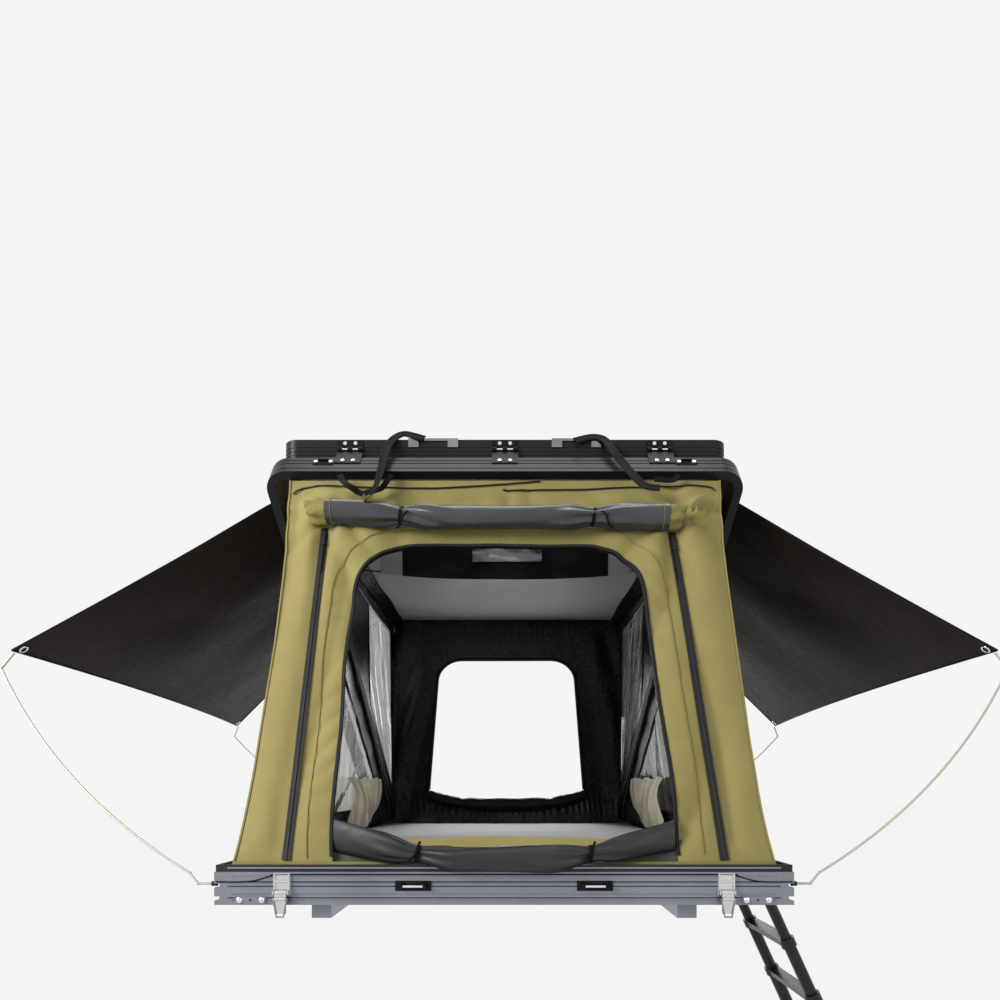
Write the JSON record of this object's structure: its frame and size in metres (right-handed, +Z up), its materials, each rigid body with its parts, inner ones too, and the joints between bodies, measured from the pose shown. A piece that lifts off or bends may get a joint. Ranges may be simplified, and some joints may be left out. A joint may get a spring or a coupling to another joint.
{
  "type": "roof top tent",
  "caption": "Hard-shell roof top tent that folds like a Z, drawn open, with canvas walls, side awnings on spring rods, gas struts, latches and a telescopic ladder",
  "frame": {"origin": "centre of the roof-bar bolt pattern, on the underside of the mounting channels", "axes": "X to the right seen from the near end, Y from the near end to the hinge end, Z up"},
  "size_m": [3.0864, 2.5465, 3.1903],
  "materials": {
    "dark_alloy": "powder-coated dark slate extrusion",
    "roof_sheet": "powder-coated sheet",
    "crossbar": "plain bar",
    "floor_board": "smooth composite board",
    "seal_rubber": "matt black",
    "mattress_cloth": "pale grey woven cover",
    "ceiling_cloth": "quilted grey",
    "olive_canvas": "olive polycotton canvas",
    "dark_cloth": "black woven cloth",
    "awning_cloth": "coated dark brown",
    "steel": "stainless",
    "bright_pins": "polished",
    "black_steel": "black paint",
    "black_plastic": "matt black",
    "ladder_alloy": "black anodised"
  },
  "bodies": {
    "base": {"mounting_channels": "dark_alloy", "base_front_rail": "dark_alloy", "base_rear_rail": "dark_alloy", "base_side_rails": "dark_alloy", "base_floor": "floor_board", "base_seal": "seal_rubber", "mattress": "mattress_cloth", "latch_plates": "steel", "strike_brackets": "black_steel", "strike_bars": "bright_pins", "corner_plates": "black_steel", "rear_hinge_base_leaves": "black_steel", "rod_sockets": "black_plastic", "ladder_bracket": "black_steel", "near_wall": "olive_canvas", "far_wall": "dark_cloth", "side_walls_lower": "olive_canvas", "door_roll": "dark_cloth", "mesh_roll": "dark_cloth"},
    "mid_frame": {"frame_near_rail": "dark_alloy", "frame_arms": "dark_alloy", "frame_far_rail": "dark_alloy", "near_hinge_frame_leaves": "black_steel", "near_hinge_pins": "bright_pins", "rear_hinge_frame_leaves": "black_steel", "keeper_plates": "black_steel", "frame_screws": "bright_pins"},
    "lid": {"lid_near_rim": "dark_alloy", "lid_side_rims": "dark_alloy", "lid_far_rim": "dark_alloy", "lid_panel": "roof_sheet", "lid_crossbars": "crossbar", "ceiling_panel": "ceiling_cloth", "near_hinge_lid_leaves": "black_steel", "lid_screws": "bright_pins", "lid_handles": "steel", "pull_straps": "dark_cloth", "organiser": "dark_cloth", "side_walls_upper": "olive_canvas", "awnings": "awning_cloth"},
    "awning_rod_near_left_body": {"awning_rod_near_left": "steel"},
    "awning_rod_near_right_body": {"awning_rod_near_right": "steel"},
    "awning_rod_far_left_body": {"awning_rod_far_left": "steel"},
    "awning_rod_far_right_body": {"awning_rod_far_right": "steel"},
    "lever_left": {"latch_lever_left": "steel"},
    "bail_left": {"latch_bail_left": "steel"},
    "lever_right": {"latch_lever_right": "steel"},
    "bail_right": {"latch_bail_right": "steel"},
    "strut_tubes": {"strut_cylinders": "black_steel"},
    "strut_pistons": {"strut_rods": "steel"},
    "ladder_1": {"ladder_section_1": "ladder_alloy"},
    "ladder_2": {"ladder_section_2": "ladder_alloy"},
    "ladder_3": {"ladder_section_3": "ladder_alloy"},
    "ladder_4": {"ladder_section_4": "ladder_alloy"},
    "ladder_5": {"ladder_section_5": "ladder_alloy"},
    "ladder_6": {"ladder_section_6": "ladder_alloy"},
    "ladder_7": {"ladder_section_7": "ladder_alloy"},
    "ladder_8": {"ladder_section_8": "ladder_alloy"},
    "ladder_9": {"ladder_section_9": "ladder_alloy"},
    "ladder_10": {"ladder_section_10": "ladder_alloy"}
  },
  "joints": [
    {"name": "frame_fold", "type": "hinge", "parent": "base", "child": "mid_frame", "pos_m": [0, 1.056, 0.14], "axis": [1, 0, 0], "range_deg": [0, 35], "stiffness_Nm_per_rad": 1500, "springref_deg": -24.98, "deforming": ["near_wall", "far_wall", "side_walls_lower", "door_roll", "mesh_roll", "side_walls_upper", "awnings", "organiser", "pull_straps"]},
    {"name": "lid_level", "type": "hinge", "parent": "mid_frame", "child": "lid", "pos_m": [0, -0.60178, 1.45461], "axis": [1, 0, 0], "range_deg": [-35, 0]},
    {"name": "strut_swing", "type": "hinge", "parent": "base", "child": "strut_tubes", "pos_m": [0, -0.11, 0.16], "axis": [1, 0, 0], "range_deg": [-22.4, 0]},
    {"name": "strut_stroke", "type": "slide", "parent": "strut_tubes", "child": "strut_pistons", "axis": [0, 0.9078, 0.4193], "range_m": [-0.202, 0]},
    {"name": "rod_turn_near_left", "type": "hinge", "parent": "base", "child": "awning_rod_near_left_body", "pos_m": [0, -1.03, 0.093], "axis": [1, 0, 0], "range_deg": [0, 100]},
    {"name": "rod_turn_near_right", "type": "hinge", "parent": "base", "child": "awning_rod_near_right_body", "pos_m": [0, -1.03, 0.093], "axis": [1, 0, 0], "range_deg": [0, 100]},
    {"name": "rod_turn_far_left", "type": "hinge", "parent": "base", "child": "awning_rod_far_left_body", "pos_m": [0, 1.03, 0.093], "axis": [1, 0, 0], "range_deg": [-100, 0]},
    {"name": "rod_turn_far_right", "type": "hinge", "parent": "base", "child": "awning_rod_far_right_body", "pos_m": [0, 1.03, 0.093], "axis": [1, 0, 0], "range_deg": [-100, 0]},
    {"name": "latch_lift_left", "type": "hinge", "parent": "base", "child": "lever_left", "pos_m": [-0.579, -1.062, 0.074], "axis": [1, 0, 0], "range_deg": [-100, 0]},
    {"name": "bail_swing_left", "type": "hinge", "parent": "lever_left", "child": "bail_left", "pos_m": [-0.579, -1.0695, 0.058], "axis": [1, 0, 0], "range_deg": [-100, 0]},
    {"name": "latch_lift_right", "type": "hinge", "parent": "base", "child": "lever_right", "pos_m": [0.579, -1.062, 0.074], "axis": [1, 0, 0], "range_deg": [-100, 0]},
    {"name": "bail_swing_right", "type": "hinge", "parent": "lever_right", "child": "bail_right", "pos_m": [0.579, -1.0695, 0.058], "axis": [1, 0, 0], "range_deg": [-100, 0]},
    {"name": "ladder_swing", "type": "hinge", "parent": "base", "child": "ladder_1", "pos_m": [0.779, -0.605, 0.056], "axis": [0, 1, 0], "range_deg": [-60, 0]},
    {"name": "ladder_slide_2", "type": "slide", "parent": "ladder_1", "child": "ladder_2", "axis": [-0.4147, 0, 0.91], "range_m": [0, 0.151]},
    {"name": "ladder_slide_3", "type": "slide", "parent": "ladder_2", "child": "ladder_3", "axis": [-0.4147, 0, 0.91], "range_m": [0, 0.151]},
    {"name": "ladder_slide_4", "type": "slide", "parent": "ladder_3", "child": "ladder_4", "axis": [-0.4147, 0, 0.91], "range_m": [0, 0.151]},
    {"name": "ladder_slide_5", "type": "slide", "parent": "ladder_4", "child": "ladder_5", "axis": [-0.4147, 0, 0.91], "range_m": [0, 0.151]},
    {"name": "ladder_slide_6", "type": "slide", "parent": "ladder_5", "child": "ladder_6", "axis": [-0.4147, 0, 0.91], "range_m": [0, 0.151]},
    {"name": "ladder_slide_7", "type": "slide", "parent": "ladder_6", "child": "ladder_7", "axis": [-0.4147, 0, 0.91], "range_m": [0, 0.151]},
    {"name": "ladder_slide_8", "type": "slide", "parent": "ladder_7", "child": "ladder_8", "axis": [-0.4147, 0, 0.91], "range_m": [0, 0.151]},
    {"name": "ladder_slide_9", "type": "slide", "parent": "ladder_8", "child": "ladder_9", "axis": [-0.4147, 0, 0.91], "range_m": [0, 0.151]},
    {"name": "ladder_slide_10", "type": "slide", "parent": "ladder_9", "child": "ladder_10", "axis": [-0.4147, 0, 0.91], "range_m": [0, 0.151]}
  ],
  "couplings": [
    {"joint": "lid_level", "follows": "frame_fold", "ratio": -1},
    {"joint": "strut_swing", "follows": "frame_fold", "ratio": -0.63817},
    {"joint": "strut_stroke", "follows": "frame_fold", "m_per_rad": -0.33},
    {"joint": "ladder_slide_3", "follows": "ladder_slide_2", "ratio": 1},
    {"joint": "ladder_slide_4", "follows": "ladder_slide_2", "ratio": 1},
    {"joint": "ladder_slide_5", "follows": "ladder_slide_2", "ratio": 1},
    {"joint": "ladder_slide_6", "follows": "ladder_slide_2", "ratio": 1},
    {"joint": "ladder_slide_7", "follows": "ladder_slide_2", "ratio": 1},
    {"joint": "ladder_slide_8", "follows": "ladder_slide_2", "ratio": 1},
    {"joint": "ladder_slide_9", "follows": "ladder_slide_2", "ratio": 1},
    {"joint": "ladder_slide_10", "follows": "ladder_slide_2", "ratio": 1}
  ]
}
